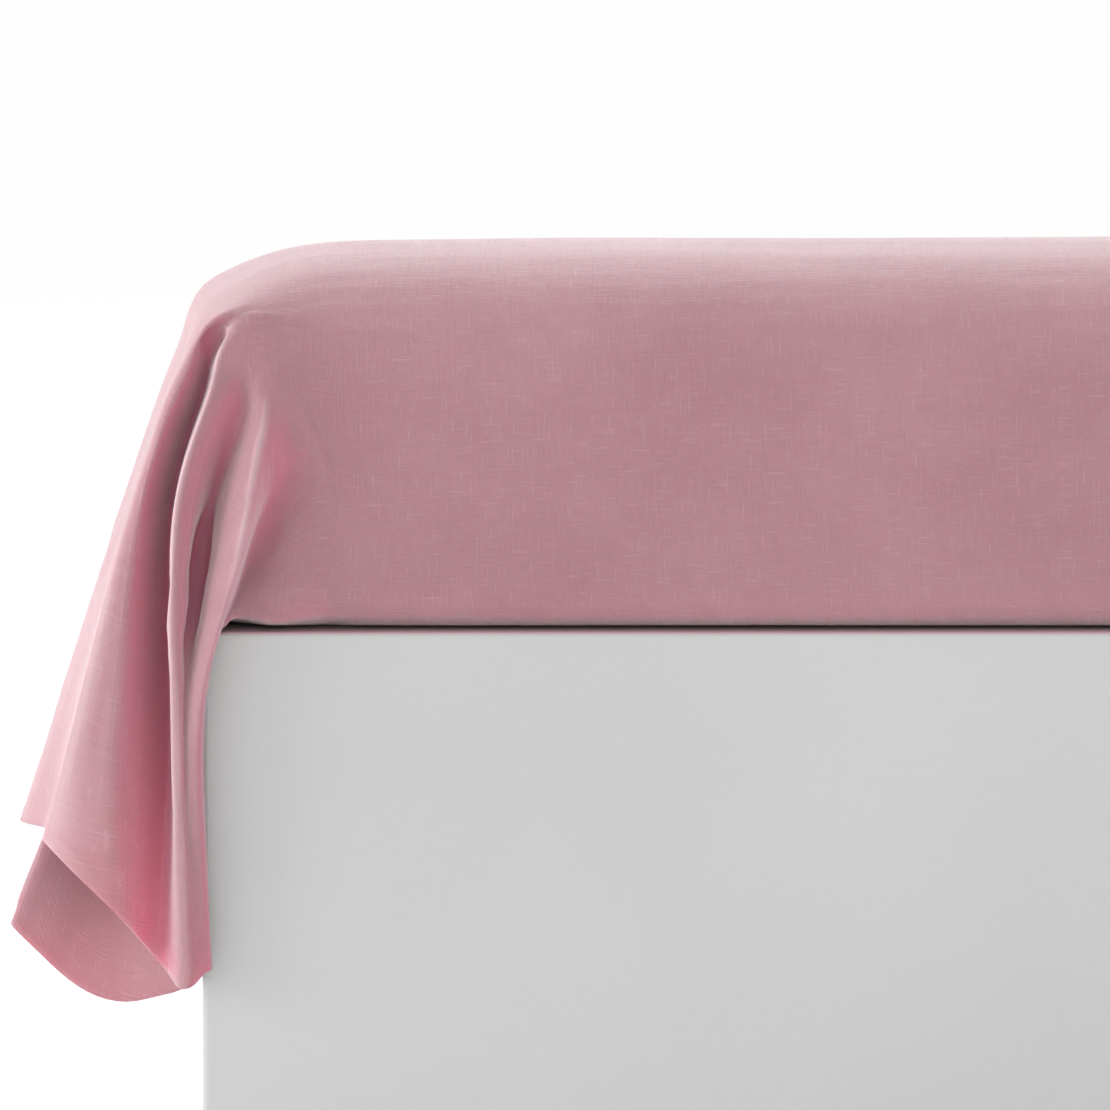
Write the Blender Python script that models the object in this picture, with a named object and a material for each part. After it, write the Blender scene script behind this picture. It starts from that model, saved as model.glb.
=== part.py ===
"""A bolster in a washed-linen case, lying across the head end of a mattress.

The case is one open-ended tube. Its middle is filled by the bolster and lies along X; each
empty end falls over a side of the mattress in folds and hangs open. Metres, +Z up, with the
head end towards -Y. The origin is the middle of the whole thing's footprint, on the floor.
"""

from collections import namedtuple

import bpy
import numpy as np

# ------------------------------------------------------------------ driving sizes, metres

MATTRESS_WIDTH = 1.400
MATTRESS_LENGTH = 1.900
MATTRESS_HEIGHT = 0.280
MATTRESS_EDGE = 0.003          # radius of its edges
MATTRESS_EDGE_STEPS = 3

BOLSTER_DEPTH = 0.298          # front to back
BOLSTER_HEIGHT = 0.191
BOLSTER_FRONT = -0.005         # its foremost line, measured back from the mattress's front
CROWN_POWER = 2.45             # squareness of the section's upper half
BELLY_POWER = 6.0              # squareness of its lower half
SETTLE = 0.0004                # how far the underside is pressed flat
END_INSET = 0.085              # from the mattress's side to the last full section
END_SAG = 0.0035               # how much lower the crown is at the mattress's sides
END_REACH = 0.350              # over this much of the length it comes down

WALL = 0.0015                  # thickness of the cloth
REST_GAP = 0.0003              # between the case and the mattress's top
EDGE_GAP = 0.0029              # between the case and the mattress's edges and sides
EDGE_REACH = 0.045             # over this much of the top the gap opens to EDGE_GAP
CLEAR_ROUNDS = 24              # passes that open those gaps
CLEAR_SHARE = 0.5              # part of what a span lacks that one pass mends
SPAN_PLACES = (0.25, 0.5, 0.75)

CORNER_STEPS = (0.2, 0.8)      # places of the points that round each fold
CREASE_CHANGE = (2.0, 4.0)     # levels between which crease gives way to hem_crease
MIDDLE_LOOPS = 6               # loops between the two last full sections
HOLLOW_START = 0.9             # where the hollow begins, in levels past the full section

# ------------------------------------------------------------------ tables

# The fold lines of a hanging end, in order round the tube from under the bolster, up its
# front, over its top and down its back. share is where the line leaves the full section,
# as a share of the girth from the middle of the underside. crease and hem_crease are how
# far the fold's rounding reaches along its sides, above and at the hem. Then the line's
# place at five levels, each as out from the mattress's side, back from its front and up
# from its top. All lengths in millimetres.
Fold = namedtuple("Fold", "name share crease hem_crease neck shoulder waist skirt hem")
FOLDS = (
    Fold("under_front", 0.095, 40, 40,
         (-25, 60, 0), (-8, 58, 0), (3, 57, -14), (20, 62, -98), (52, 46, -194)),
    Fold("side_front", 0.135, 10, 10,
         (-60, 24, 1), (-36, 22, 1), (-2, 18, 1), (4, 18, -50), (9, 14, -182)),
    Fold("front_corner", 0.165, 7, 7,
         (-60, 0, 9), (-38, -2, 6), (-14, 0, 4), (4, -6, -42), (3, -7, -168)),
    Fold("cheek", 0.245, 14, 10,
         (-62, -5, 88), (-45, 1, 76), (-27, 5, 42), (-4, -13, -30), (-5, -10, -168)),
    Fold("second_ridge", 0.285, 4, 8,
         (-40, -5, 122), (-31, -14, 101), (-21, -25, 42), (-1, -23, -45), (-5, -14, -168)),
    Fold("second_lip", 0.295, 4, 8,
         (-35, -4, 127), (-26, -6, 104), (-10, -11, 44), (4, -20, -46), (-1, -15, -170)),
    Fold("second_valley", 0.306, 8, 8,
         (-31, -2, 131), (-20, 7, 106), (1, 24, 42), (8, -15, -40), (3, -18, -175)),
    Fold("first_lip", 0.318, 6, 8,
         (-28, 1, 137), (-11, -5, 113), (5, -12, 45), (9, -20, -45), (6, -18, -177)),
    Fold("first_ridge", 0.340, 3, 7,
         (-20, 13, 155), (-3, -6, 118), (14, -14, 56), (15, -16, -55), (11, -14, -178)),
    Fold("first_valley", 0.348, 5, 12,
         (-17, 16, 157), (-1, 32, 118), (15, 42, 55), (14, 36, -60), (21, 4, -167)),
    Fold("near_face", 0.356, 9, 14,
         (-15, 17, 158), (7, 5, 126), (28, 4, 63), (38, 1, -48), (39, -8, -144)),
    Fold("near_edge", 0.366, 9, 8,
         (-12, 19, 160), (11, 11, 132), (34, 12, 72), (58, 11, -17), (82, 12, -105)),
    Fold("behind_edge", 0.395, 14, 14,
         (-9, 45, 165), (12, 42, 132), (35, 37, 71), (59, 42, -17), (78, 44, -104)),
    Fold("outer_bulge", 0.445, 45, 45,
         (-4, 90, 170), (18, 90, 132), (42, 90, 66), (72, 92, -20), (102, 95, -106)),
    Fold("outer_dip", 0.530, 45, 45,
         (-3, 160, 172), (17, 160, 134), (38, 165, 68), (64, 165, -18), (87, 165, -103)),
    Fold("outer_back", 0.600, 40, 40,
         (-4, 225, 166), (17, 226, 130), (38, 226, 68), (68, 230, -20), (96, 236, -108)),
    Fold("far_edge", 0.665, 12, 10,
         (-10, 276, 154), (7, 282, 124), (26, 288, 64), (52, 293, -22), (76, 298, -114)),
    Fold("far_valley", 0.710, 9, 9,
         (-14, 276, 143), (2, 270, 110), (19, 268, 56), (27, 276, -32), (33, 287, -150)),
    Fold("far_ridge", 0.755, 7, 9,
         (-26, 292, 122), (-8, 302, 92), (11, 308, 45), (14, 312, -34), (13, 312, -176)),
    Fold("far_corner", 0.835, 12, 12,
         (-44, 288, 12), (-26, 290, 7), (-6, 294, 3), (4, 300, -50), (4, 302, -182)),
    Fold("under_back", 0.920, 50, 50,
         (-25, 235, 0), (-8, 236, 0), (3, 238, -14), (4, 240, -98), (5, 240, -194)),
    Fold("pleat_root", 0.985, 26, 26,
         (-25, 180, 0), (-8, 181, 0), (3, 182, -14), (6, 176, -98), (14, 150, -193)),
    Fold("pleat_tip", 1.035, 9, 14,
         (-25, 130, 0), (-8, 128, 0), (6, 112, -14), (58, 54, -50), (99, 52, -148)),
)
LEVELS = ("neck", "shoulder", "waist", "skirt", "hem")

# The two hanging ends. flare and drop stretch the fold lines outwards and downwards, and
# loops is the number of loops of points from the last full section down to the hem.
HangingEnd = namedtuple("HangingEnd", "name side flare drop loops")
ENDS = (
    HangingEnd("left", -1, 1.00, 1.00, 36),
    HangingEnd("right", 1, 0.93, 1.02, 31),
)

# Slow swells along the filled middle: what they lift, by how much, and how often per metre.
Swell = namedtuple("Swell", "part height per_metre start")
SWELLS = (
    Swell("crown", 0.0010, 1.1, 0.30),
    Swell("crown", 0.0005, 3.1, 0.75),
    Swell("front", 0.0011, 2.3, 0.10),
    Swell("back", 0.0013, 1.7, 0.55),
)

# Each node's colour, roughness and metallic value.
Finish = namedtuple("Finish", "name color roughness metallic")
LINEN = Finish("washed_linen", (0.470, 0.270, 0.300, 1.0), 0.85, 0.0)
TICKING = Finish("plain_ticking", (0.640, 0.645, 0.630, 1.0), 0.80, 0.0)


# ------------------------------------------------------------------ helpers

def clear_scene():
    """Remove whatever the scene holds."""
    for item in list(bpy.data.objects):
        bpy.data.objects.remove(item, do_unlink=True)


def make_material(finish):
    """Return a Principled material with one of the finishes above."""
    material = bpy.data.materials.new(finish.name)
    material.use_nodes = True
    shader = material.node_tree.nodes["Principled BSDF"]
    shader.inputs["Base Color"].default_value = finish.color
    shader.inputs["Roughness"].default_value = finish.roughness
    shader.inputs["Metallic"].default_value = finish.metallic
    return material


def make_object(name, vertices, faces, finish):
    """Return a smooth-shaded object made of the given faces."""
    mesh = bpy.data.meshes.new(name)
    mesh.from_pydata([tuple(point) for point in vertices], [], faces)
    mesh.validate()
    mesh.shade_smooth()
    mesh.materials.append(make_material(finish))
    made = bpy.data.objects.new(name, mesh)
    bpy.context.collection.objects.link(made)
    return made


def ease(t):
    """A soft step from 0 to 1."""
    t = np.clip(t, 0.0, 1.0)
    return t * t * (3.0 - 2.0 * t)


# ------------------------------------------------------------------ the filled section

def section_outline(steps=2400):
    """Points and girth shares of the bolster's section, from the middle of its underside.

    It is a superellipse, squarer below than above, with its underside pressed flat. The
    order is forwards, up the front, over the top and down the back, as (back, up).
    """
    turn = np.linspace(-0.5 * np.pi, 1.5 * np.pi, steps)
    power = np.where(np.sin(turn) < 0.0, BELLY_POWER, CROWN_POWER)
    wide = np.sign(np.cos(turn)) * np.abs(np.cos(turn)) ** (2.0 / power)
    tall = np.sign(np.sin(turn)) * np.abs(np.sin(turn)) ** (2.0 / power)
    half = 0.5 * BOLSTER_HEIGHT
    stretch = np.where(tall < 0.0, half + SETTLE, half)
    back = BOLSTER_FRONT + 0.5 * BOLSTER_DEPTH * (1.0 - wide)
    up = half + np.maximum(tall * stretch, -half)
    points = np.stack([back, up], axis=1)
    lengths = np.linalg.norm(np.diff(points, axis=0), axis=1)
    along = np.concatenate([[0.0], np.cumsum(lengths)])
    return points, along / along[-1]


SECTION_POINTS, SECTION_SHARES = section_outline()


def section_at(shares, along):
    """Points (x, back, up) of the filled section at a distance along the mattress."""
    shares = np.mod(shares, 1.0)
    back = np.interp(shares, SECTION_SHARES, SECTION_POINTS[:, 0])
    up = np.interp(shares, SECTION_SHARES, SECTION_POINTS[:, 1])
    middle = BOLSTER_FRONT + 0.5 * BOLSTER_DEPTH
    crown = ease(up / BOLSTER_HEIGHT)
    front = ease((middle - back) / (0.5 * BOLSTER_DEPTH))
    rear = ease((back - middle) / (0.5 * BOLSTER_DEPTH))
    to_side = np.minimum(along, MATTRESS_WIDTH - along)
    up = up - END_SAG * ease(1.0 - to_side / END_REACH) * crown
    for swell in SWELLS:
        wave = swell.height * np.sin(2.0 * np.pi * (swell.per_metre * along + swell.start))
        if swell.part == "crown":
            up = up + wave * crown
        elif swell.part == "front":
            back = back + wave * front * crown
        else:
            back = back + wave * rear * crown
    x = np.broadcast_to(along, back.shape)
    return np.stack([x, back, up], axis=-1)


# ------------------------------------------------------------------ the hanging ends

def fold_places(end):
    """Each fold line's knots: two full sections, then the five levels of its table row."""
    shares = np.array([fold.share for fold in FOLDS])
    knots = []
    for out in (-2.0 * END_INSET, -END_INSET):
        knots.append(section_at(shares, side_to_x(out, end)))
    for level in LEVELS:
        places = np.array([getattr(fold, level) for fold in FOLDS]) * 0.001
        out = np.where(places[:, 0] > 0.0, places[:, 0] * end.flare, places[:, 0])
        up = np.where(places[:, 2] < 0.0, places[:, 2] * end.drop, places[:, 2])
        knots.append(np.stack([side_to_x(out, end), places[:, 1], up], axis=1))
    return np.array(knots)


def side_to_x(out, end):
    """Turn a distance out from a side of the mattress into a distance along it."""
    return -out if end.side < 0 else MATTRESS_WIDTH + out


def smooth_curve(knots, places):
    """Catmull-Rom curves through knots that are one level apart, read at some places."""
    last = len(knots) - 1
    padded = np.concatenate([knots, 2.0 * knots[-1:] - knots[-2:-1]])
    low = np.clip(np.floor(places).astype(int), 1, last - 1)
    t = (places - low)[:, None, None]
    p0, p1, p2, p3 = (padded[low + shift] for shift in (-1, 0, 1, 2))
    return 0.5 * (2.0 * p1 + (p2 - p0) * t + (2.0 * p0 - 5.0 * p1 + 4.0 * p2 - p3) * t ** 2
                  + (3.0 * p1 - p0 - 3.0 * p2 + p3) * t ** 3)


def round_folds(corners, levels):
    """Turn loops of fold-line places into rounded loops.

    Each corner becomes a quadratic curve that starts and ends on its two sides, as far from
    it as the fold's rounding says and never past the middle of a side. Returns the points
    and the girth share of each.
    """
    before = np.roll(corners, 1, axis=1)
    after = np.roll(corners, -1, axis=1)
    upper = np.array([fold.crease for fold in FOLDS]) * 0.001
    lower = np.array([fold.hem_crease for fold in FOLDS]) * 0.001
    hem_share = ease((levels - CREASE_CHANGE[0]) / (CREASE_CHANGE[1] - CREASE_CHANGE[0]))[:, None]
    reach = upper * (1.0 - hem_share) + lower * hem_share
    shares = np.array([fold.share for fold in FOLDS])
    share_before = np.roll(shares, 1) - np.where(np.arange(len(FOLDS)) == 0, 1.0, 0.0)
    share_after = np.roll(shares, -1) + np.where(np.arange(len(FOLDS)) == len(FOLDS) - 1, 1.0, 0.0)
    cut_in = np.minimum(0.5, reach / np.linalg.norm(corners - before, axis=2))
    cut_out = np.minimum(0.5, reach / np.linalg.norm(corners - after, axis=2))
    points = []
    places = []
    for t in CORNER_STEPS:
        from_before = (1.0 - t) ** 2 * cut_in
        from_after = t ** 2 * cut_out
        own = 1.0 - from_before - from_after
        points.append(from_before[..., None] * before + from_after[..., None] * after
                      + own[..., None] * corners)
        places.append(from_before * share_before + from_after * share_after + own * shares)
    count = len(CORNER_STEPS) * len(FOLDS)
    loops = np.stack(points, axis=2).reshape(len(corners), count, 3)
    loop_shares = np.stack(places, axis=2).reshape(len(corners), count)
    return loops, loop_shares


def hanging_loops(end, levels):
    """Loops of points down a hanging end; level 0 is the last full section, 5 the hem."""
    corners = smooth_curve(fold_places(end), 1.0 + levels)
    loops, shares = round_folds(corners, levels)
    middle = corners[:, :, 0].mean(axis=1)
    full = np.array([section_at(row, x) for row, x in zip(shares, middle)])
    full[..., 0] = loops[..., 0]
    folded = ease(levels)[:, None, None]
    return full * (1.0 - folded) + loops * folded


def way_out(points):
    """How far each point has to move to stand clear of the mattress.

    The mattress is a box with rounded edges. A point nearer to it than the gap moves along
    the shortest way out. The gap is small on the top and opens towards the edges.
    """
    half = 0.5 * MATTRESS_WIDTH
    side = np.sign(points[..., 0] - half)
    inside = np.stack([
        np.abs(points[..., 0] - half) - half,
        -points[..., 1],
        points[..., 2],
    ], axis=-1)
    near_edge = np.maximum(inside[..., 0], inside[..., 1])
    gap = REST_GAP + (EDGE_GAP - REST_GAP) * ease(1.0 + near_edge / EDGE_REACH)
    core = inside + MATTRESS_EDGE
    outer = np.maximum(core, 0.0)
    length = np.linalg.norm(outer, axis=-1)
    deepest = core.max(axis=-1)
    distance = np.where(deepest > 0.0, length, deepest) - MATTRESS_EDGE
    away = np.where(length[..., None] > 1e-9, outer / np.maximum(length, 1e-9)[..., None],
                    (core == core.max(axis=-1, keepdims=True)).astype(float))
    move = np.maximum(gap - distance, 0.0)[..., None] * away
    move[..., 0] *= side
    move[..., 1] *= -1.0
    return move


def keep_clear(loops):
    """Move the points of a grid of loops until they and the spans between them are clear.

    A span is read at a few places. What is missing there moves both of its ends.
    """
    loops = loops.copy()
    for _ in range(CLEAR_ROUNDS):
        loops += way_out(loops)
        for down, across in ((1, 0), (0, 1), (1, 1), (1, -1)):
            first = loops[:len(loops) - down]
            second = np.roll(loops, -across, axis=1)[down:]
            for t in SPAN_PLACES:
                move = CLEAR_SHARE * way_out((1.0 - t) * first + t * second)
                loops[:len(loops) - down] += move * (1.0 - t)
                loops[down:] += np.roll(move, across, axis=1) * t
    return loops + way_out(loops)


# ------------------------------------------------------------------ the case

def outward(loops):
    """Unit normals of a grid of loops, pointing out of the tube."""
    along = np.gradient(loops, axis=0)
    round_the_tube = np.roll(loops, -1, axis=1) - np.roll(loops, 1, axis=1)
    normals = np.cross(along, round_the_tube)
    normals /= np.linalg.norm(normals, axis=2, keepdims=True)
    return normals


def band(first_row, second_row, count, flip=False):
    """Quads between two neighbouring loops of a grid of points."""
    faces = []
    for i in range(count):
        j = (i + 1) % count
        quad = (first_row + i, first_row + j, second_row + j, second_row + i)
        faces.append(quad if flip else quad[::-1])
    return faces


def case_loops():
    """Loops of the whole tube from the left hem to the right hem, clear of the mattress."""
    left, right = (hanging_loops(end, np.linspace(0.0, len(LEVELS), end.loops)) for end in ENDS)
    shares = hanging_shares(ENDS[0])
    spots = np.linspace(END_INSET, MATTRESS_WIDTH - END_INSET, MIDDLE_LOOPS + 2)[1:-1]
    middle = np.array([section_at(shares, x) for x in spots])
    return keep_clear(np.concatenate([left[::-1], middle, right]))


def hanging_shares(end):
    """Girth shares of the points of an end's last full section."""
    full_section = np.array([0.0])
    corners = smooth_curve(fold_places(end), 1.0 + full_section)
    return round_folds(corners, full_section)[1][0]


def make_case():
    """The pillowcase: a filled tube with a hollow, open, hanging end at each side."""
    loops = case_loops()
    normals = outward(loops)
    rows, count = loops.shape[:2]
    vertices = list(loops.reshape(-1, 3))
    faces = []
    for row in range(rows - 1):
        faces += band(row * count, (row + 1) * count, count)
    for end, hem, step_in, flip in ((ENDS[0], 0, 1, True), (ENDS[1], rows - 1, -1, False)):
        deepest = int((end.loops - 1) * (1.0 - HOLLOW_START / len(LEVELS)))
        chosen = hem + step_in * np.arange(deepest + 1)
        start = len(vertices)
        for row in chosen:
            vertices += list(loops[row] - WALL * normals[row])
        faces += band(hem * count, start, count, flip)
        for step in range(len(chosen) - 1):
            faces += band(start + step * count, start + (step + 1) * count, count, flip)
        last = start + (len(chosen) - 1) * count
        centre = len(vertices)
        vertices.append(np.mean(vertices[last:last + count], axis=0))
        for i in range(count):
            j = (i + 1) % count
            corner = (last + i, last + j, centre)
            faces.append(corner if flip else corner[::-1])
    return make_object("pillowcase", vertices, faces, LINEN)


# ------------------------------------------------------------------ the mattress

def make_mattress():
    """A plain block with slightly rounded edges, its front-left top corner at the origin."""
    ends_x = (0.0, MATTRESS_WIDTH)
    ends_y = (0.0, MATTRESS_LENGTH)
    ends_z = (-MATTRESS_HEIGHT, 0.0)
    corners = [(x, y, z) for x in ends_x for y in ends_y for z in ends_z]
    faces = [(0, 1, 3, 2), (4, 6, 7, 5), (0, 4, 5, 1), (2, 3, 7, 6), (0, 2, 6, 4), (1, 5, 7, 3)]
    block = make_object("mattress", corners, faces, TICKING)
    rounding = block.modifiers.new("edges", "BEVEL")
    rounding.width = MATTRESS_EDGE
    rounding.segments = MATTRESS_EDGE_STEPS
    return block


def stand_at_origin(parts):
    """Move everything so that the origin is under the middle of the whole footprint."""
    corners = np.array([vertex.co for part in parts for vertex in part.data.vertices])
    low = corners.min(axis=0)
    high = corners.max(axis=0)
    shift = (-0.5 * (low[0] + high[0]), -0.5 * (low[1] + high[1]), -low[2])
    for part in parts:
        part.location = shift


clear_scene()
stand_at_origin([make_case(), make_mattress()])
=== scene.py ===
"""A bolster in a washed-linen case, lying across the head end of a mattress.

The case is a thin open-ended tube of cloth round the bolster. Its two empty ends fall over the
sides of the mattress in folds and hang open. Lengths are metres, +Z is up, and the head end
is towards -Y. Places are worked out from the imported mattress's box.
"""
from collections import namedtuple

import bmesh
import bpy
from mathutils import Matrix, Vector
import numpy as np


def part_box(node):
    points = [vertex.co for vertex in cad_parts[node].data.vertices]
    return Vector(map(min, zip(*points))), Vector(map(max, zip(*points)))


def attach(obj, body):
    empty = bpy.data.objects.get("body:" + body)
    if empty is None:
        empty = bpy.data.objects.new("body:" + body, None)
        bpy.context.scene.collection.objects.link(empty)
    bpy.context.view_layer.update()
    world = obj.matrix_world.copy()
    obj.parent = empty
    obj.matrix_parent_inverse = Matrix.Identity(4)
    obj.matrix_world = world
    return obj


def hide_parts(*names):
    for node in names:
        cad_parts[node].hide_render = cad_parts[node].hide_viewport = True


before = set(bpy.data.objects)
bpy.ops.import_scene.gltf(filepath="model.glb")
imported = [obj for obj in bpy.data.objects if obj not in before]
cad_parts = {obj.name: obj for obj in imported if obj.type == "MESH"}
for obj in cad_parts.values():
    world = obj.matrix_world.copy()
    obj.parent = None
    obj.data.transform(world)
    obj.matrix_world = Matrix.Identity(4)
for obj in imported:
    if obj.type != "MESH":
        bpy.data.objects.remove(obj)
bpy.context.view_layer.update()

# ------------------------------------------------------------------ driving sizes, metres

MATTRESS_LOW, MATTRESS_HIGH = (np.array(corner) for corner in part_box("mattress"))
CORNER = np.array([MATTRESS_LOW[0], MATTRESS_LOW[1], MATTRESS_HIGH[2]])   # front, left, top
MATTRESS_WIDTH = MATTRESS_HIGH[0] - MATTRESS_LOW[0]
MATTRESS_EDGE = 0.003          # radius of its edges

BOLSTER_DEPTH = 0.298          # front to back
BOLSTER_HEIGHT = 0.191
BOLSTER_FRONT = -0.005         # its foremost line, measured back from the mattress's front
CROWN_POWER = 2.45             # squareness of the section's upper half
BELLY_POWER = 9.0              # squareness of its lower half
SETTLE = 0.0004                # how far the underside is pressed flat
END_INSET = 0.085              # from the mattress's side to the last full section
END_SAG = 0.0035               # how much lower the crown is at the mattress's sides
END_REACH = 0.350              # over this much of the length it comes down

CLOTH = 0.0007                 # thickness of the linen
HEM_RISE = 0.0005              # how much the turned hem stands proud
HEM_WIDTH = 0.011
REST_GAP = 0.0004              # between the case and the mattress's top
EDGE_GAP = 0.0029              # between the case and the mattress's edges and sides
EDGE_REACH = 0.045             # over this much of the top the gap opens to EDGE_GAP
CLEAR_ROUNDS = 3               # passes that open those gaps

COLUMN_STEP = 0.0056           # between columns of points, round the tube
SHARP_COLUMNS = 5              # the fewest columns that round a fold
ROW_STEP = 0.0040              # between loops of points, down a hanging end
MIDDLE_STEP = 0.0200           # between loops of points, along the filled middle
CREASE_CHANGE = (2.0, 4.0)     # levels between which crease gives way to hem_crease

CASE_FLAT = (0.850, 2.000)     # girth and length of the case before it is filled

# ------------------------------------------------------------------ tables

# The fold lines of a hanging end, in order round the tube from under the bolster, up its
# front, over its top and down its back. share is where the line leaves the full section,
# as a share of the girth from the middle of the underside. crease and hem_crease are how
# far the fold's rounding reaches along its sides, above and at the hem. Then the line's
# place at five levels, each as out from the mattress's side, back from its front and up
# from its top. All lengths in millimetres.
Fold = namedtuple("Fold", "name share crease hem_crease neck shoulder waist skirt hem")
FOLDS = (
    Fold("under_front", 0.095, 40, 40,
         (-25, 60, 0), (-8, 58, 0), (3, 57, -14), (20, 62, -98), (55, 46, -197)),
    Fold("side_front", 0.135, 10, 10,
         (-60, 24, 1), (-36, 22, 1), (-2, 18, 1), (4, 18, -50), (9, 14, -182)),
    Fold("front_corner", 0.165, 7, 7,
         (-60, 0, 9), (-38, -2, 6), (-14, 0, 4), (4, -6, -42), (3, -7, -168)),
    Fold("cheek", 0.245, 14, 10,
         (-62, -5, 88), (-45, 1, 76), (-27, 5, 42), (-4, -13, -30), (-5, -10, -168)),
    Fold("second_ridge", 0.285, 4, 8,
         (-40, -5, 122), (-31, -14, 101), (-21, -25, 42), (-1, -23, -45), (-5, -14, -168)),
    Fold("second_lip", 0.295, 4, 8,
         (-35, -4, 127), (-26, -6, 104), (-10, -11, 44), (4, -20, -46), (-1, -15, -170)),
    Fold("second_valley", 0.306, 8, 8,
         (-31, -2, 131), (-20, 7, 106), (1, 24, 42), (8, -15, -40), (3, -18, -175)),
    Fold("first_lip", 0.318, 6, 8,
         (-28, 1, 137), (-11, -5, 113), (5, -12, 45), (9, -20, -45), (6, -18, -177)),
    Fold("first_ridge", 0.340, 3, 7,
         (-20, 13, 155), (-3, -6, 118), (14, -14, 56), (15, -16, -55), (11, -14, -178)),
    Fold("first_valley", 0.348, 5, 12,
         (-17, 16, 157), (-1, 32, 118), (15, 42, 55), (14, 36, -60), (21, 4, -167)),
    Fold("near_face", 0.356, 12, 18,
         (-15, 17, 158), (7, 5, 126), (28, 4, 63), (38, 1, -48), (39, -8, -144)),
    Fold("near_edge", 0.366, 4, 4,
         (-12, 19, 160), (11, 11, 132), (34, 12, 72), (58, 11, -17), (82, 12, -105)),
    Fold("behind_edge", 0.395, 14, 14,
         (-9, 45, 165), (12, 42, 132), (35, 37, 71), (59, 42, -17), (78, 44, -104)),
    Fold("outer_bulge", 0.445, 45, 45,
         (-4, 90, 170), (18, 90, 132), (42, 90, 66), (72, 92, -20), (102, 95, -106)),
    Fold("outer_dip", 0.530, 45, 45,
         (-3, 160, 172), (17, 160, 134), (38, 165, 68), (64, 165, -18), (87, 165, -103)),
    Fold("outer_back", 0.600, 40, 40,
         (-4, 225, 166), (17, 226, 130), (38, 226, 68), (68, 230, -20), (96, 236, -108)),
    Fold("far_edge", 0.665, 12, 10,
         (-10, 276, 154), (7, 282, 124), (26, 288, 64), (52, 293, -22), (76, 298, -114)),
    Fold("far_valley", 0.710, 9, 9,
         (-14, 276, 143), (2, 270, 110), (19, 268, 56), (27, 276, -32), (33, 287, -150)),
    Fold("far_ridge", 0.755, 7, 9,
         (-26, 292, 122), (-8, 302, 92), (11, 308, 45), (14, 312, -34), (13, 312, -176)),
    Fold("far_corner", 0.835, 12, 12,
         (-44, 288, 12), (-26, 290, 7), (-6, 294, 3), (4, 300, -50), (4, 302, -182)),
    Fold("under_back", 0.920, 50, 50,
         (-25, 235, 0), (-8, 236, 0), (3, 238, -14), (4, 240, -98), (5, 240, -194)),
    Fold("pleat_root", 0.985, 26, 26,
         (-25, 180, 0), (-8, 181, 0), (3, 182, -14), (6, 176, -98), (14, 150, -193)),
    Fold("pleat_tip", 1.035, 9, 10,
         (-25, 130, 0), (-8, 128, 0), (6, 112, -14), (58, 54, -50), (103, 52, -151)),
)
LEVELS = ("neck", "shoulder", "waist", "skirt", "hem")

# The two hanging ends. flare and drop stretch the fold lines outwards and downwards.
HangingEnd = namedtuple("HangingEnd", "name side flare drop")
ENDS = (
    HangingEnd("left", -1, 1.00, 1.00),
    HangingEnd("right", 1, 0.93, 1.02),
)

# Slow swells along the filled middle: what they lift, by how much, and how often per metre.
Swell = namedtuple("Swell", "part height per_metre start")
SWELLS = (
    Swell("crown", 0.0010, 1.1, 0.30),
    Swell("crown", 0.0005, 3.1, 0.75),
    Swell("front", 0.0011, 2.3, 0.10),
    Swell("back", 0.0013, 1.7, 0.55),
)

# Soft creases pressed into a hanging end. height is above zero for a ridge and below for a
# trough, width is how far its flanks reach, and path is a few places along it, each as out,
# back and up. All lengths in millimetres.
Crease = namedtuple("Crease", "name height width path")
CREASES = (
    Crease("near_face_crease", -2.0, 6, ((37, 3, -30), (36, 0, -95), (38, -5, -150))),
    Crease("pocket_lip", 1.6, 5, ((4, 14, 146), (-4, 14, 154), (-15, 16, 161))),
    Crease("pocket_mouth", -5.0, 7, ((4, 20, 137), (-5, 14, 149), (-12, 12, 153))),
    Crease("second_hollow", -6.0, 9, ((-4, 18, 66), (1, 14, 22), (6, -6, -22))),
    Crease("cheek_hollow", -3.0, 8, ((-54, -4, 97), (-34, 3, 57), (-18, 6, 10))),
)


# ------------------------------------------------------------------ helpers

def ease(t):
    """A soft step from 0 to 1."""
    t = np.clip(t, 0.0, 1.0)
    return t * t * (3.0 - 2.0 * t)


def unit(vectors):
    """The same directions with length 1."""
    return vectors / np.maximum(np.linalg.norm(vectors, axis=-1, keepdims=True), 1e-12)


# ------------------------------------------------------------------ the filled section

def section_outline(steps=2400):
    """Points and girth shares of the bolster's section, from the middle of its underside.

    Superellipse: back and up are the cosine and sine of the turn, each raised to 2 over a
    power, which is higher below than above. The underside is pressed flat. The order is
    forwards, up the front, over the top and down the back.
    """
    turn = np.linspace(-0.5 * np.pi, 1.5 * np.pi, steps)
    power = np.where(np.sin(turn) < 0.0, BELLY_POWER, CROWN_POWER)
    wide = np.sign(np.cos(turn)) * np.abs(np.cos(turn)) ** (2.0 / power)
    tall = np.sign(np.sin(turn)) * np.abs(np.sin(turn)) ** (2.0 / power)
    half = 0.5 * BOLSTER_HEIGHT
    stretch = np.where(tall < 0.0, half + SETTLE, half)
    back = BOLSTER_FRONT + 0.5 * BOLSTER_DEPTH * (1.0 - wide)
    up = half + np.maximum(tall * stretch, -half)
    points = np.stack([back, up], axis=1)
    lengths = np.linalg.norm(np.diff(points, axis=0), axis=1)
    along = np.concatenate([[0.0], np.cumsum(lengths)])
    return points, along / along[-1]


SECTION_POINTS, SECTION_SHARES = section_outline()


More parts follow.
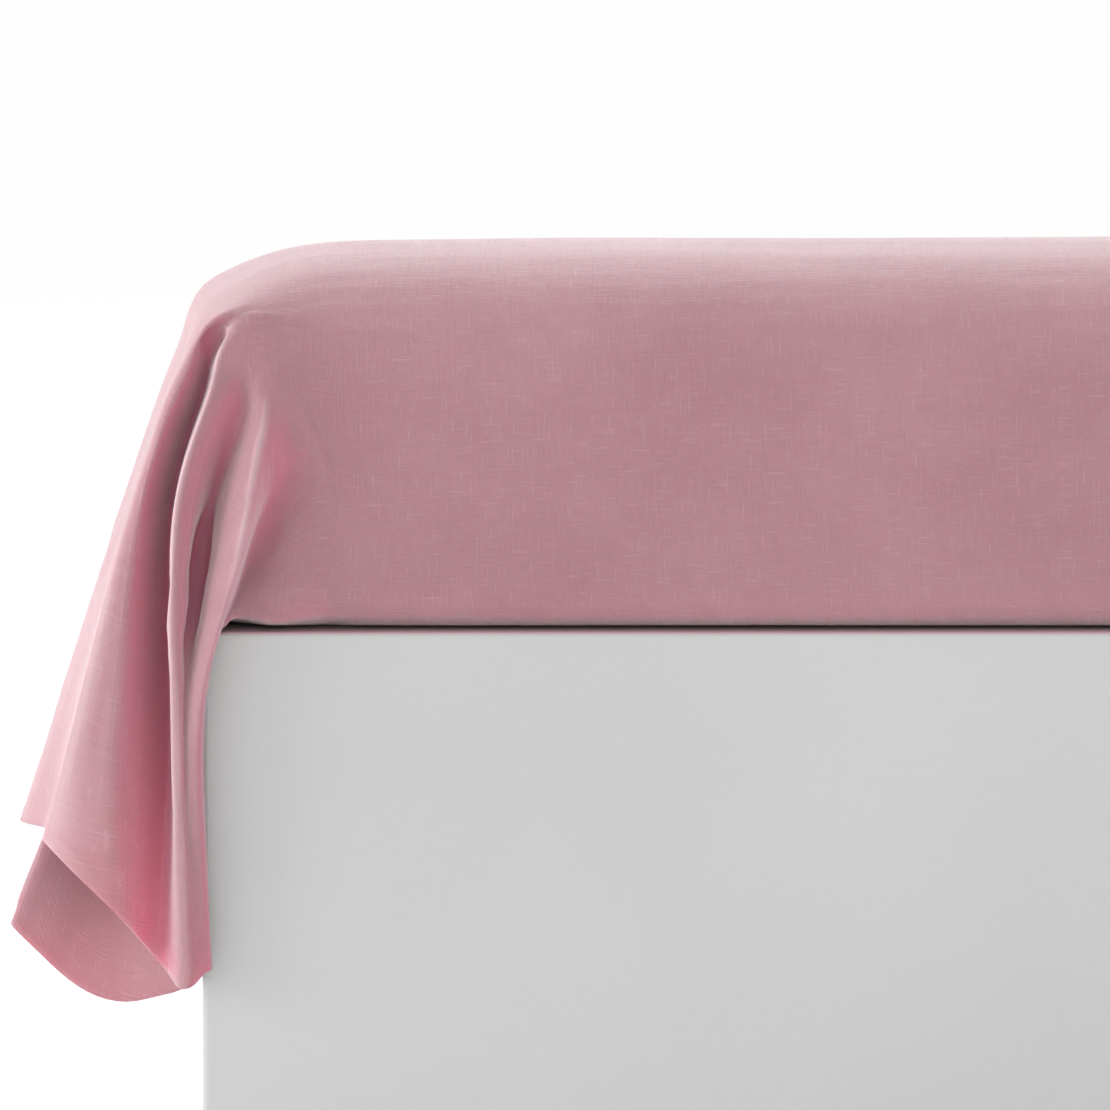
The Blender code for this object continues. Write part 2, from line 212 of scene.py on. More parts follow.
def section_at(shares, along):
    """Points (x, back, up) of the filled section at a distance along the mattress.

    The section's outline, with its crown lowered towards the mattress's sides and moved by
    sine waves along the length.
    """
    shares = np.mod(shares, 1.0)
    back = np.interp(shares, SECTION_SHARES, SECTION_POINTS[:, 0])
    up = np.interp(shares, SECTION_SHARES, SECTION_POINTS[:, 1])
    middle = BOLSTER_FRONT + 0.5 * BOLSTER_DEPTH
    crown = ease(up / BOLSTER_HEIGHT)
    front = ease((middle - back) / (0.5 * BOLSTER_DEPTH))
    rear = ease((back - middle) / (0.5 * BOLSTER_DEPTH))
    to_side = np.minimum(along, MATTRESS_WIDTH - along)
    up = up - END_SAG * ease(1.0 - to_side / END_REACH) * crown
    for swell in SWELLS:
        wave = swell.height * np.sin(2.0 * np.pi * (swell.per_metre * along + swell.start))
        if swell.part == "crown":
            up = up + wave * crown
        elif swell.part == "front":
            back = back + wave * front * crown
        else:
            back = back + wave * rear * crown
    x = np.broadcast_to(along, back.shape)
    return np.stack([x, back, up], axis=-1)


# ------------------------------------------------------------------ the hanging ends

def side_to_x(out, end):
    """Turn a distance out from a side of the mattress into a distance along it."""
    return -out if end.side < 0 else MATTRESS_WIDTH + out


def stretched(places, end):
    """Places of a table row, in metres: out times the end's flare, down times its drop."""
    places = np.asarray(places, float) * 0.001
    out = np.where(places[..., 0] > 0.0, places[..., 0] * end.flare, places[..., 0])
    up = np.where(places[..., 2] < 0.0, places[..., 2] * end.drop, places[..., 2])
    return np.stack([side_to_x(out, end), places[..., 1], up], axis=-1)


def fold_places(end):
    """Each fold line's knots: two full sections, then the five levels of its table row."""
    shares = np.array([fold.share for fold in FOLDS])
    knots = [section_at(shares, side_to_x(out, end)) for out in (-2.0 * END_INSET, -END_INSET)]
    for level in LEVELS:
        knots.append(stretched([getattr(fold, level) for fold in FOLDS], end))
    return np.array(knots)


def smooth_curve(knots, places):
    """Catmull-Rom curves through knots that are one level apart, read at some places."""
    last = len(knots) - 1
    padded = np.concatenate([knots, 2.0 * knots[-1:] - knots[-2:-1]])
    low = np.clip(np.floor(places).astype(int), 1, last - 1)
    t = (places - low)[:, None, None]
    p0, p1, p2, p3 = (padded[low + shift] for shift in (-1, 0, 1, 2))
    return 0.5 * (2.0 * p1 + (p2 - p0) * t + (2.0 * p0 - 5.0 * p1 + 4.0 * p2 - p3) * t ** 2
                  + (3.0 * p1 - p0 - 3.0 * p2 + p3) * t ** 3)


def column_counts():
    """How many columns of points each fold line gets: odd, by the length of its sides, and
    never under SHARP_COLUMNS."""
    knots = fold_places(ENDS[0])
    ahead = np.linalg.norm(np.roll(knots, -1, axis=1) - knots, axis=2).mean(axis=0)
    span = 0.5 * (ahead + np.roll(ahead, 1))
    return np.maximum(SHARP_COLUMNS, 2 * np.round(0.5 * span / COLUMN_STEP - 0.5).astype(int) + 1)


def half_fold(middle, corner, cut, bend, t):
    """Half of a rounded fold, from the middle of its side (t = 0) to the fold line (t = 1).

    A straight run along the side, then half of the quadratic curve. The switch is where the
    lengths of the two say, so that the points are evenly spaced.
    """
    start = corner + 2.0 * cut * (middle - corner)
    straight = np.linalg.norm(start - middle, axis=-1, keepdims=True)
    curved = np.linalg.norm(bend - start, axis=-1, keepdims=True)
    switch = straight / np.maximum(straight + curved, 1e-9)
    run = np.clip(t / np.maximum(switch, 1e-9), 0.0, 1.0)
    s = 0.5 * np.clip((t - switch) / np.maximum(1.0 - switch, 1e-9), 0.0, 1.0)
    end = 4.0 * bend - 2.0 * corner - start
    curve = (1.0 - s) ** 2 * start + 2.0 * s * (1.0 - s) * corner + s ** 2 * end
    return np.where(t < switch, middle + run * (start - middle), curve)


def round_folds(corners, levels, counts):
    """Turn loops of fold-line places into rounded loops of points.

    Each corner becomes a quadratic curve that starts and ends on its two sides, as far from
    it as the fold's rounding says and never past the middle of a side. A fold's points run
    from the middle of one side to the middle of the next. The last axis may hold any values.
    """
    before = np.roll(corners, 1, axis=1)
    after = np.roll(corners, -1, axis=1)
    upper = np.array([fold.crease for fold in FOLDS]) * 0.001
    lower = np.array([fold.hem_crease for fold in FOLDS]) * 0.001
    hem_share = ease((levels - CREASE_CHANGE[0]) / (CREASE_CHANGE[1] - CREASE_CHANGE[0]))[:, None]
    reach = upper * (1.0 - hem_share) + lower * hem_share
    cut_in = np.minimum(0.5, reach / np.linalg.norm((corners - before)[..., :3], axis=2))
    cut_out = np.minimum(0.5, reach / np.linalg.norm((corners - after)[..., :3], axis=2))
    cut_in = cut_in[..., None]
    cut_out = cut_out[..., None]
    first = 0.5 * (before + corners)
    second = 0.5 * (after + corners)
    start = corners + cut_in * (before - corners)
    finish = corners + cut_out * (after - corners)
    bend = 0.25 * start + 0.5 * corners + 0.25 * finish
    loops = []
    for i, count in enumerate(counts):
        spots = (np.arange(count) + 0.5) / count
        for spot in spots:
            if spot <= 0.5:
                point = half_fold(first[:, i], corners[:, i], cut_in[:, i], bend[:, i], 2.0 * spot)
            else:
                point = half_fold(second[:, i], corners[:, i], cut_out[:, i], bend[:, i],
                                  2.0 - 2.0 * spot)
            loops.append(point)
    return np.stack(loops, axis=1)


def hanging_loops(end, levels, counts):
    """Loops of points down a hanging end; level 0 is the last full section, 5 the hem.

    Near level 0 a loop is blended with the filled section at the same shares of the girth.
    """
    corners = smooth_curve(fold_places(end), 1.0 + levels)
    # The share jumps by one whole girth where the loop closes, so it is carried along as a
    # turn's cosine and sine.
    turn = 2.0 * np.pi * np.array([fold.share for fold in FOLDS])
    turn = np.stack([np.cos(turn), np.sin(turn)], axis=1)
    carried = np.concatenate([corners, np.broadcast_to(turn, (len(levels),) + turn.shape)], axis=2)
    rounded = round_folds(carried, levels, counts)
    loops = rounded[..., :3]
    loop_shares = np.mod(np.arctan2(rounded[..., 4], rounded[..., 3]) / (2.0 * np.pi), 1.0)
    middle = corners[:, :, 0].mean(axis=1)
    full = np.array([section_at(row, x) for row, x in zip(loop_shares, middle)])
    full[..., 0] = loops[..., 0]
    folded = ease(levels)[:, None, None]
    return full * (1.0 - folded) + loops * folded, loop_shares


def way_out(points):
    """How far each point has to move to stand clear of the mattress.

    The mattress is a box with rounded edges. A point nearer to it than the gap moves along
    the shortest way out. The gap is small on the top and opens towards the edges.
    """
    half = 0.5 * MATTRESS_WIDTH
    side = np.sign(points[..., 0] - half)
    inside = np.stack([
        np.abs(points[..., 0] - half) - half,
        -points[..., 1],
        points[..., 2],
    ], axis=-1)
    near_edge = np.maximum(inside[..., 0], inside[..., 1])
    gap = REST_GAP + (EDGE_GAP - REST_GAP) * ease(1.0 + near_edge / EDGE_REACH)
    core = inside + MATTRESS_EDGE
    outer = np.maximum(core, 0.0)
    length = np.linalg.norm(outer, axis=-1)
    deepest = core.max(axis=-1)
    distance = np.where(deepest > 0.0, length, deepest) - MATTRESS_EDGE
    away = np.where(length[..., None] > 1e-9, outer / np.maximum(length, 1e-9)[..., None],
                    (core == core.max(axis=-1, keepdims=True)).astype(float))
    move = np.maximum(gap - distance, 0.0)[..., None] * away
    move[..., 0] *= side
    move[..., 1] *= -1.0
    return move


def keep_clear(loops):
    """Move points out of the mattress's neighbourhood, a few times over."""
    for _ in range(CLEAR_ROUNDS):
        loops = loops + way_out(loops)
    return loops


# ------------------------------------------------------------------ the case

PLEAT_SHARE = 0.50             # sine of the half turn past which a column isn't under the bolster
VALLEY_ROUNDS = 150            # how widely the cloth is smoothed to find its valleys
EDGE_ROUNDS = 5                # and to find its sharp edges
# Fold lines whose sharp edges get a painted highlight, paler and whiter where the ridge catches the
# light.
HIGHLIT_FOLDS = ("near_edge", "first_ridge", "second_ridge", "far_edge", "far_ridge")
HIGHLIGHT_REACH = 0.006           # how wide their painted highlights are, as a share of the girth


def outward(loops):
    """Unit normals of a grid of loops, pointing out of the tube."""
    along = np.gradient(loops, axis=0)
    round_the_tube = np.roll(loops, -1, axis=1) - np.roll(loops, 1, axis=1)
    return unit(np.cross(along, round_the_tube))


def end_levels():
    """Levels of the loops of a hanging end, about ROW_STEP apart."""
    fine = np.linspace(0.0, len(LEVELS), 400)
    centre = smooth_curve(fold_places(ENDS[0]), 1.0 + fine)
    steps = np.linalg.norm(np.diff(centre, axis=0), axis=2).mean(axis=1)
    run = np.concatenate([[0.0], np.cumsum(steps)])
    count = int(round(run[-1] / ROW_STEP)) + 1
    return np.interp(np.linspace(0.0, run[-1], count), run, fine)


def case_loops():
    """Loops of the tube from the left hem to the right hem.

    Returns the points, each loop's level (0 along the filled middle) and its end's number.
    """
    counts = column_counts()
    levels = end_levels()
    left, shares = hanging_loops(ENDS[0], levels, counts)
    right, _ = hanging_loops(ENDS[1], levels, counts)
    room = MATTRESS_WIDTH - 2.0 * END_INSET
    spots = END_INSET + np.linspace(0.0, room, int(round(room / MIDDLE_STEP)) + 1)[1:-1]
    middle = np.array([section_at(shares[0], x) for x in spots])
    loops = np.concatenate([left[::-1], middle, right])
    rank = np.concatenate([levels[::-1], np.zeros(len(spots)), levels])
    ends = np.concatenate([np.zeros(len(levels)), np.full(len(spots), -1), np.ones(len(levels))])
    return loops, rank, ends.astype(int)


def case_shares():
    """Girth shares of the tube's columns."""
    return hanging_loops(ENDS[0], end_levels(), column_counts())[1][0]


def to_path(points, knots):
    """Distance of points from a path of straight spans, and how far along it they are, 0 to 1."""
    best = np.full(points.shape[:-1], np.inf)
    place = np.zeros(points.shape[:-1])
    spans = len(knots) - 1
    for i in range(spans):
        start, stop = knots[i], knots[i + 1]
        span = stop - start
        t = np.clip(((points - start) @ span) / (span @ span), 0.0, 1.0)
        distance = np.linalg.norm(points - start - t[..., None] * span, axis=-1)
        closer = distance < best
        best = np.where(closer, distance, best)
        place = np.where(closer, (i + t) / spans, place)
    return best, place


def press_creases(loops, normals, ends):
    """Each crease lifts the cloth by its height times a bell curve of the distance to its
    path, fading to nothing at both tips."""
    moved = np.zeros(loops.shape[:2])
    for number, end in enumerate(ENDS):
        rows = ends == number
        for crease in CREASES:
            path = stretched(crease.path, end)
            distance, place = to_path(loops[rows], path)
            bell = np.exp(-(distance / (0.001 * crease.width)) ** 2)
            moved[rows] += 0.001 * crease.height * bell * np.sin(np.pi * np.clip(place, 0.0, 1.0))
    return loops + moved[..., None] * normals


def slack(loops):
    """Lengths round the tube and along it, in metres, as (round, along) for each point."""
    step_round = np.linalg.norm(np.roll(loops, -1, axis=1) - loops, axis=2)
    run_round = np.concatenate([np.zeros((len(loops), 1)), np.cumsum(step_round, axis=1)], axis=1)
    step_along = np.linalg.norm(np.diff(loops, axis=0), axis=2).mean(axis=1)
    run_along = np.concatenate([[0.0], np.cumsum(step_along)])
    return run_round, run_along


def ripples(run_round, run_along, seed, count, across, length, height):
    """Sum of sine waves over the cloth, mostly along the tube, with random turn and start."""
    rng = np.random.default_rng(seed)
    total = np.zeros(run_round.shape)
    for _ in range(count):
        per_round = rng.uniform(0.6, 1.6) / across
        per_along = rng.uniform(-1.0, 1.0) / length
        start = rng.uniform(0.0, 1.0)
        swell = np.sin(2.0 * np.pi * (rng.uniform(0.5, 1.5) * run_along / length + start))
        wave = np.sin(2.0 * np.pi * (per_round * run_round + per_along * run_along[:, None] + start))
        total += wave * swell[:, None]
    return total * height / np.sqrt(count)


def hollow_depth(loops, rounds):
    """How far each point lies below the cloth round it, in metres; above zero in a valley.

    The loops are smoothed by repeated averaging with their neighbours, and the depth is the
    distance from the point to its smoothed place along the outward normal.
    """
    smoothed = loops
    for _ in range(rounds):
        across = 0.5 * (np.roll(smoothed, 1, axis=1) + np.roll(smoothed, -1, axis=1))
        edged = np.concatenate([smoothed[:1], smoothed, smoothed[-1:]])
        along = 0.5 * (edged[:-2] + edged[2:])
        smoothed = 0.5 * smoothed + 0.3 * across + 0.2 * along
    return ((smoothed - loops) * outward(loops)).sum(axis=2)


def cloth_object(name, loops, round_at, along_at, material):
    """A smooth tube through loops of points, with its lengths in metres as its UV map."""
    rows, count = loops.shape[:2]
    i, j = np.meshgrid(np.arange(rows - 1), np.arange(count), indexing="ij")
    after = (j + 1) % count
    quads = np.stack([i * count + j, i * count + after,
                      (i + 1) * count + after, (i + 1) * count + j], axis=-1)
    quads = quads.reshape(-1, 4)[:, ::-1]
    at = np.stack([round_at, along_at], axis=-1)
    uv = np.stack([at[:-1, :-1], at[:-1, 1:], at[1:, 1:], at[1:, :-1]], axis=2)
    uv = uv.reshape(-1, 4, 2)[:, ::-1]
    mesh = bpy.data.meshes.new(name)
    mesh.from_pydata((loops.reshape(-1, 3) + CORNER).tolist(), [], quads.tolist())
    layer = mesh.uv_layers.new(name="cloth")
    layer.data.foreach_set("uv", uv.reshape(-1).astype(np.float32))
    mesh.shade_smooth()
    mesh.materials.append(material)
    made = bpy.data.objects.new(name, mesh)
    bpy.context.scene.collection.objects.link(made)
    return made


def note_on(made, name, values):
    """Store one number for each point of a mesh, for its finish to read."""
    layer = made.data.attributes.new(name, "FLOAT", "POINT")
    layer.data.foreach_set("value", values.reshape(-1).astype(np.float32))


def make_case(material):
    """The linen case: the folded tube, with creases, ripples and a turned hem, made a sheet."""
    loops, levels, ends = case_loops()
    normals = outward(loops)
    loops = press_creases(loops, normals, ends)
    run_round, run_along = slack(loops)
    lift = ripples(run_round[:, :-1], run_along, 11, 14, 0.070, 0.45, 0.00055)
    lift += ripples(run_round[:, :-1], run_along, 23, 18, 0.022, 0.16, 0.00016)
    from_hem = np.minimum(run_along, run_along[-1] - run_along)
    lift += (HEM_RISE * ease((HEM_WIDTH - from_hem) / 0.002))[:, None]
    loops = keep_clear(loops + lift[..., None] * outward(loops))
    turn = np.unwrap(2.0 * np.pi * case_shares())
    threads = CASE_FLAT[0] * np.append(turn, turn[0] + 2.0 * np.pi) / (2.0 * np.pi)
    steps = np.linalg.norm(np.diff(loops, axis=0), axis=2)
    weft = np.concatenate([np.zeros((1, loops.shape[1])), np.cumsum(steps, axis=0)])
    weft = weft - weft[len(weft) // 2]
    weft = np.concatenate([weft, weft[:, :1]], axis=1)
    case = cloth_object("bolster_case", loops, np.broadcast_to(threads, weft.shape), weft,
                        material)
    shown = np.sin(0.5 * turn) > PLEAT_SHARE
    # How deep each valley lies, which the finish turns into painted shade.
    note_on(case, "fold_depth", hollow_depth(loops, VALLEY_ROUNDS) * shown)
    # Painted highlight: how sharply the cloth stands out along these fold lines, fading towards the
    # filled middle.
    painted_light = [fold.share for fold in FOLDS if fold.name in HIGHLIT_FOLDS]
    off = turn[:, None] / (2.0 * np.pi) - np.array(painted_light)
    highlight_mask = np.exp(-(off / HIGHLIGHT_REACH) ** 2).max(axis=1) * ease(levels)[:, None]
    note_on(case, "fold_edge_highlight", -hollow_depth(loops, EDGE_ROUNDS) * highlight_mask)
    sheet = case.modifiers.new("cloth", "SOLIDIFY")
    sheet.thickness = CLOTH
    sheet.offset = -1.0
    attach(case, "root")
    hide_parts("pillowcase")
    return case


# ------------------------------------------------------------------ the bolster inside

BOLSTER_CLEAR = 0.003          # between it and the case
BOLSTER_LEVEL = 0.75           # how far into the hanging ends its sides reach
BOLSTER_DOME = 0.030           # how far its ends bulge past that
DOME_STEPS = 14


def make_bolster(material):
    """The filling: the case's loops drawn in a little, closed at each end by a dome.

    The dome shrinks the last loop by the cosine of a turn and pushes it out by the sine.
    """
    loops, levels, ends = case_loops()
    inner = loops - BOLSTER_CLEAR * outward(loops)
    rows = np.flatnonzero(levels <= BOLSTER_LEVEL)
    body = keep_clear(inner[rows[0]:rows[-1] + 1:3])
    turn = np.linspace(0.0, 0.5 * np.pi, DOME_STEPS + 1)[1:-1, None, None]
    domes = []
    for rim, side in ((body[:1], -1.0), (body[-1:], 1.0)):
        centre = rim.mean(axis=1, keepdims=True)
        push = np.array([side * BOLSTER_DOME, 0.0, 0.0])
        domes.append(centre + (rim - centre) * np.cos(turn) + push * np.sin(turn))
    grid = np.concatenate([domes[0][::-1], body, domes[1]])
    run_round, run_along = slack(grid)
    along = np.broadcast_to(run_along[:, None], run_round.shape)
    bolster = cloth_object("bolster", grid, run_round, along, material)
    mesh = bolster.data
    count = grid.shape[1]
    shell = bmesh.new()
    shell.from_mesh(mesh)
    shell.verts.ensure_lookup_table()
    shell.faces.new([shell.verts[k] for k in range(count)])
    total = len(shell.verts)
    shell.faces.new([shell.verts[total - 1 - k] for k in range(count)])
    bmesh.ops.recalc_face_normals(shell, faces=shell.faces)
    shell.to_mesh(mesh)
    shell.free()
    mesh.shade_smooth()
    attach(bolster, "root")
    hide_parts("pillowcase")
    return bolster


# ------------------------------------------------------------------ finishes

class Finish:
    """A material under construction: nodes are added and linked by short calls."""

    def __init__(self, name):
        self.material = bpy.data.materials.new(name)
        self.material.use_nodes = True
        self.tree = self.material.node_tree
        self.shader = self.tree.nodes["Principled BSDF"]

    def node(self, kind, **settings):
        made = self.tree.nodes.new(kind)
        for key, value in settings.items():
            setattr(made, key, value)
        return made

    def link(self, output, socket):
        self.tree.links.new(output, socket)

    def stretched(self, vector, scale):
        """A pattern's coordinates, multiplied by a scale for each axis."""
        mapping = self.node("ShaderNodeMapping")
        mapping.inputs["Scale"].default_value = scale
        self.link(vector, mapping.inputs["Vector"])
        return mapping.outputs["Vector"]

    def noise(self, vector, scale, detail=2.0, roughness=0.5):
        """Soft noise, once in each unit of the scaled coordinates."""
        made = self.node("ShaderNodeTexNoise")
        made.inputs["Scale"].default_value = 1.0
        made.inputs["Detail"].default_value = detail
        made.inputs["Roughness"].default_value = roughness
        self.link(self.stretched(vector, scale), made.inputs["Vector"])
        return made.outputs["Fac"]

    def threads(self, vector, scale, bend):
        """Sine bands across the first axis of the scaled coordinates, bent by noise."""
        made = self.node("ShaderNodeTexWave", wave_type="BANDS", bands_direction="X")
        made.inputs["Scale"].default_value = 1.0 / 20.0 * 2.0 * np.pi
        made.inputs["Distortion"].default_value = bend
        made.inputs["Detail"].default_value = 1.0
        made.inputs["Detail Scale"].default_value = 0.4
        self.link(self.stretched(vector, scale), made.inputs["Vector"])
        return made.outputs["Fac"]

    def math(self, operation, first, second):
        made = self.node("ShaderNodeMath", operation=operation)
        for socket, value in zip(made.inputs, (first, second)):
            if isinstance(value, (int, float)):
                socket.default_value = value
            else:
                self.link(value, socket)
        return made.outputs["Value"]

    def ramp(self, value, low, high, start, stop):
        """Map a value from (low, high) to (start, stop), clamped."""
        made = self.node("ShaderNodeMapRange")
        for key, number in (("From Min", low), ("From Max", high), ("To Min", start), ("To Max", stop)):
            made.inputs[key].default_value = number
        self.link(value, made.inputs["Value"])
        return made.outputs["Result"]

    def mix(self, share, first, second):
        """Mix two colours, each given as four numbers or as an output."""
        made = self.node("ShaderNodeMix", data_type="RGBA")
        self.link(share, made.inputs["Factor"])
        for socket, value in ((made.inputs[6], first), (made.inputs[7], second)):
            if isinstance(value, tuple):
                socket.default_value = value
            else:
                self.link(value, socket)
        return made.outputs[2]

    def bump(self, height, distance, strength=1.0, before=None):
        made = self.node("ShaderNodeBump")
        made.inputs["Distance"].default_value = distance
        made.inputs["Strength"].default_value = strength
        self.link(height, made.inputs["Height"])
        if before is not None:
            self.link(before, made.inputs["Normal"])
        return made.outputs["Normal"]


THREADS = 1150.0               # threads of the linen in a metre
PAINTED_SHADE_SIDE = (0.80, -0.50, -0.33)   # faces turned this way, away from the key light, get a painted shade of deep pink
PAINTED_SHADE_DEEP = 0.011              # a fold this deep gets the strongest painted shade, a deep saturated pink


def washed_linen():
    """Plain-weave linen: threads both ways, slubs along them, and a cloudy wash, with painted shade in
    the folds and on faces turned from the key light, and painted highlights on the sharpest fold edges.
    """
    finish = Finish("washed_linen")
    cloth = finish.node("ShaderNodeUVMap", uv_map="cloth").outputs["UV"]
    warp = finish.threads(cloth, (THREADS, 40.0, 1.0), 1.2)
    turned = finish.node("ShaderNodeMapping")
    turned.inputs["Rotation"].default_value = (0.0, 0.0, 0.5 * np.pi)
    finish.link(cloth, turned.inputs["Vector"])
    weft = finish.threads(turned.outputs["Vector"], (THREADS, 40.0, 1.0), 1.2)
    weave = finish.math("ADD", warp, weft)
    slub_round = finish.noise(cloth, (70.0, 900.0, 1.0), 2.0, 0.6)
    slub_along = finish.noise(cloth, (900.0, 70.0, 1.0), 2.0, 0.6)
    slubs_a = finish.ramp(slub_round, 0.58, 0.80, 0.0, 1.0)
    slubs_b = finish.ramp(slub_along, 0.58, 0.80, 0.0, 1.0)
    slubs = finish.math("MAXIMUM", slubs_a, slubs_b)
    dark_a = finish.ramp(slub_round, 0.20, 0.42, 1.0, 0.0)
    dark_b = finish.ramp(slub_along, 0.20, 0.42, 1.0, 0.0)
    thin = finish.math("MAXIMUM", dark_a, dark_b)
    cloudy = finish.noise(cloth, (9.0, 7.0, 1.0), 4.0, 0.6)
    speck = finish.ramp(finish.noise(cloth, (420.0, 420.0, 1.0), 1.0, 0.5), 0.74, 0.80, 0.0, 0.5)
    tone = finish.mix(finish.ramp(cloudy, 0.35, 0.68, 0.0, 1.0),
                      (0.362, 0.180, 0.208, 1.0), (0.412, 0.218, 0.246, 1.0))
    tone = finish.mix(finish.math("MULTIPLY", slubs, 0.28), tone, (0.640, 0.450, 0.470, 1.0))
    tone = finish.mix(finish.math("MULTIPLY", thin, 0.30), tone, (0.330, 0.160, 0.190, 1.0))
    tone = finish.mix(speck, tone, (0.240, 0.110, 0.120, 1.0))
    # Painted shade: the deeper a valley, the more its colour turns to a deep pink, standing in for the
    # shade and the light through the cloth in the folds.
    depth = finish.node("ShaderNodeAttribute", attribute_name="fold_depth").outputs["Fac"]
    tone = finish.mix(finish.ramp(depth, 0.001, PAINTED_SHADE_DEEP, 0.0, 0.55), tone, (0.620, 0.170, 0.265, 1.0))
    # Painted shade: faces turned towards that side are painted a deeper pink, as if lit only through
    # the cloth.
    away = finish.node("ShaderNodeVectorMath", operation="DOT_PRODUCT")
    away.inputs[1].default_value = PAINTED_SHADE_SIDE
    finish.link(finish.node("ShaderNodeNewGeometry").outputs["Normal"], away.inputs[0])
    shade = finish.ramp(away.outputs["Value"], 0.55, 0.92, 0.0, 0.55)
    tone = finish.mix(shade, tone, (0.560, 0.150, 0.230, 1.0))
    # Painted highlight: the sharpest fold edges are painted a paler, whiter pink.
    edge = finish.node("ShaderNodeAttribute", attribute_name="fold_edge_highlight").outputs["Fac"]
    tone = finish.mix(finish.ramp(edge, 0.0002, 0.0012, 0.0, 0.40), tone, (0.700, 0.520, 0.545, 1.0))
    finish.link(tone, finish.shader.inputs["Base Color"])
    normal = finish.bump(weave, 0.00012, 0.5)
    normal = finish.bump(finish.math("ADD", slub_round, slub_along), 0.00045, 0.7, normal)
    finish.link(normal, finish.shader.inputs["Normal"])
    finish.shader.inputs["Roughness"].default_value = 0.85
    finish.shader.inputs["Subsurface Weight"].default_value = 0.6
    finish.shader.inputs["Subsurface Radius"].default_value = (1.0, 0.30, 0.40)
    finish.shader.inputs["Subsurface Scale"].default_value = 0.004
    finish.shader.inputs["Sheen Weight"].default_value = 0.7
    finish.shader.inputs["Sheen Roughness"].default_value = 0.40
    finish.shader.inputs["Sheen Tint"].default_value = (1.0, 0.95, 0.955, 1.0)
    finish.shader.inputs["Specular IOR Level"].default_value = 0.25
    return finish.material


def plain_cover(name, color, painted_light=None, threads=900.0):
    """A smooth, tightly woven cover with a faint cloudiness, on object coordinates.

    The last colour is painted on the mattress's top just under the front of the bolster: painted shade
    with pink light reflected from the case.
    """
    finish = Finish(name)
    place = finish.node("ShaderNodeTexCoord").outputs["Object"]
    fine = finish.noise(place, (threads, threads, threads), 1.0, 0.5)
    cloudy = finish.noise(place, (3.0, 3.0, 3.0), 3.0, 0.5)
    light = tuple(min(1.0, 1.03 * value) for value in color) + (1.0,)
    dark = tuple(0.97 * value for value in color) + (1.0,)
    tone = finish.mix(finish.ramp(cloudy, 0.35, 0.65, 0.0, 1.0), dark, light)
    # Painted shade and pink reflected light on the mattress's top, in a strip under the front of the
    # bolster.
    if painted_light is not None:
        split = finish.node("ShaderNodeSeparateXYZ")
        finish.link(place, split.inputs["Vector"])
        corner = CORNER - np.array(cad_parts["mattress"].location)
        upper = finish.ramp(split.outputs["Z"], corner[2] - 0.0012, corner[2] - 0.0004, 0.0, 1.0)
        under = finish.ramp(split.outputs["Y"], corner[1] + 0.070, corner[1] + 0.110, 1.0, 0.0)
        tone = finish.mix(finish.math("MULTIPLY", upper, under), tone, painted_light + (1.0,))
    finish.link(tone, finish.shader.inputs["Base Color"])
    finish.link(finish.bump(fine, 0.0002, 0.4), finish.shader.inputs["Normal"])
    finish.shader.inputs["Roughness"].default_value = 0.8
    finish.shader.inputs["Specular IOR Level"].default_value = 0.2
    finish.shader.inputs["Sheen Weight"].default_value = 0.1
    return finish.material


# ------------------------------------------------------------------ floor, light and camera

FLOOR_SIZE = 160.0


def make_floor():
    """A plain pale floor, level with the mattress's foot."""
    finish = Finish("pale_floor")
    place = finish.node("ShaderNodeTexCoord").outputs["Object"]
    cloudy = finish.noise(place, (0.6, 0.6, 0.6), 2.0, 0.5)
    finish.link(finish.mix(cloudy, (0.98, 0.98, 0.98, 1.0), (1.0, 1.0, 1.0, 1.0)),
                finish.shader.inputs["Base Color"])
    finish.shader.inputs["Roughness"].default_value = 0.7
    half = 0.5 * FLOOR_SIZE
    corners = [(-half, -half, 0.0), (half, -half, 0.0), (half, half, 0.0), (-half, half, 0.0)]
    mesh = bpy.data.meshes.new("floor")
    mesh.from_pydata(corners, [], [(0, 1, 2, 3)])
    mesh.materials.append(finish.material)
    floor = bpy.data.objects.new("floor", mesh)
    bpy.context.scene.collection.objects.link(floor)


def aim(thing, place, target):
    """Put a light or camera at a place, turned to face a target, with its top up."""
    thing.location = place
    thing.rotation_euler = (Vector(target) - Vector(place)).to_track_quat("-Z", "Y").to_euler()


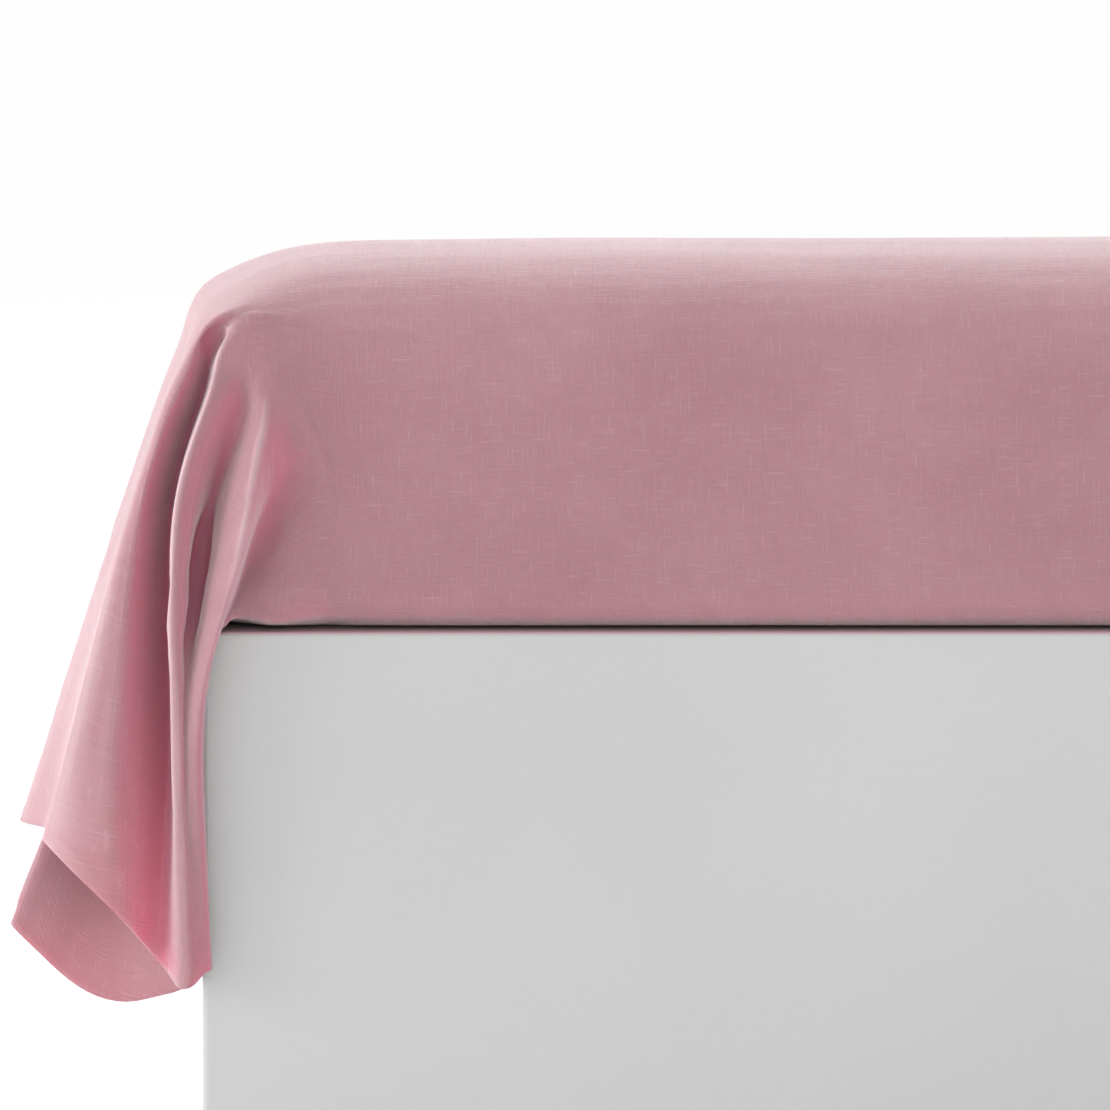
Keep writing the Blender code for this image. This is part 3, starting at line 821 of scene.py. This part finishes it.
def make_light(name, place, target, size, watts, color=(1.0, 1.0, 1.0)):
    """A square soft box."""
    data = bpy.data.lights.new(name, "AREA")
    data.shape = "RECTANGLE"
    data.size, data.size_y = size
    data.energy = watts
    data.color = color
    light = bpy.data.objects.new(name, data)
    bpy.context.scene.collection.objects.link(light)
    aim(light, place, target)


def light_the_room():
    """A white sky for even light, a large soft box high on the left and a little behind, one at
    the left side, and a weak low one in front."""
    world = bpy.data.worlds.new("studio")
    world.use_nodes = True
    sky = world.node_tree.nodes["Background"]
    sky.inputs["Color"].default_value = (1.0, 1.0, 1.0, 1.0)
    sky.inputs["Strength"].default_value = 1.00
    bpy.context.scene.world = world
    bolster = CORNER + np.array([0.30, 0.15, 0.05])
    make_light("key", bolster + (-3.5, 1.1, 1.7), bolster, (3.2, 3.2), 70.0)
    make_light("side", bolster + (-3.8, -1.1, 0.6), bolster, (1.4, 2.0), 56.0)
    make_light("front", bolster + (0.5, -3.6, 0.7), bolster, (3.0, 0.8), 18.0)


# The camera stands level with the head end, a little above the bolster, looking straight at
# it and slightly down.
CAMERA_FROM_CORNER = np.array([0.177, -4.000, 0.389])
CAMERA_DOWN = np.radians(5.0)
CAMERA_LENS = 260.7            # millimetres, on a 36 mm sensor


def make_camera():
    data = bpy.data.cameras.new("camera")
    data.lens = CAMERA_LENS
    data.sensor_width = 36.0
    data.clip_end = 200.0
    camera = bpy.data.objects.new("camera", data)
    bpy.context.scene.collection.objects.link(camera)
    camera.location = CORNER + CAMERA_FROM_CORNER
    camera.rotation_euler = (0.5 * np.pi - CAMERA_DOWN, 0.0, 0.0)
    bpy.context.scene.camera = camera


# ------------------------------------------------------------------ the whole thing

make_case(washed_linen())
make_bolster(plain_cover("bolster_cover", (0.80, 0.78, 0.74)))
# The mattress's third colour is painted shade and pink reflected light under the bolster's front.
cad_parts["mattress"].data.materials[0] = plain_cover(
    "mattress_cover", (0.478, 0.481, 0.478), (0.540, 0.370, 0.410))
make_floor()
light_the_room()
make_camera()
bpy.context.scene.view_settings.view_transform = "Standard"
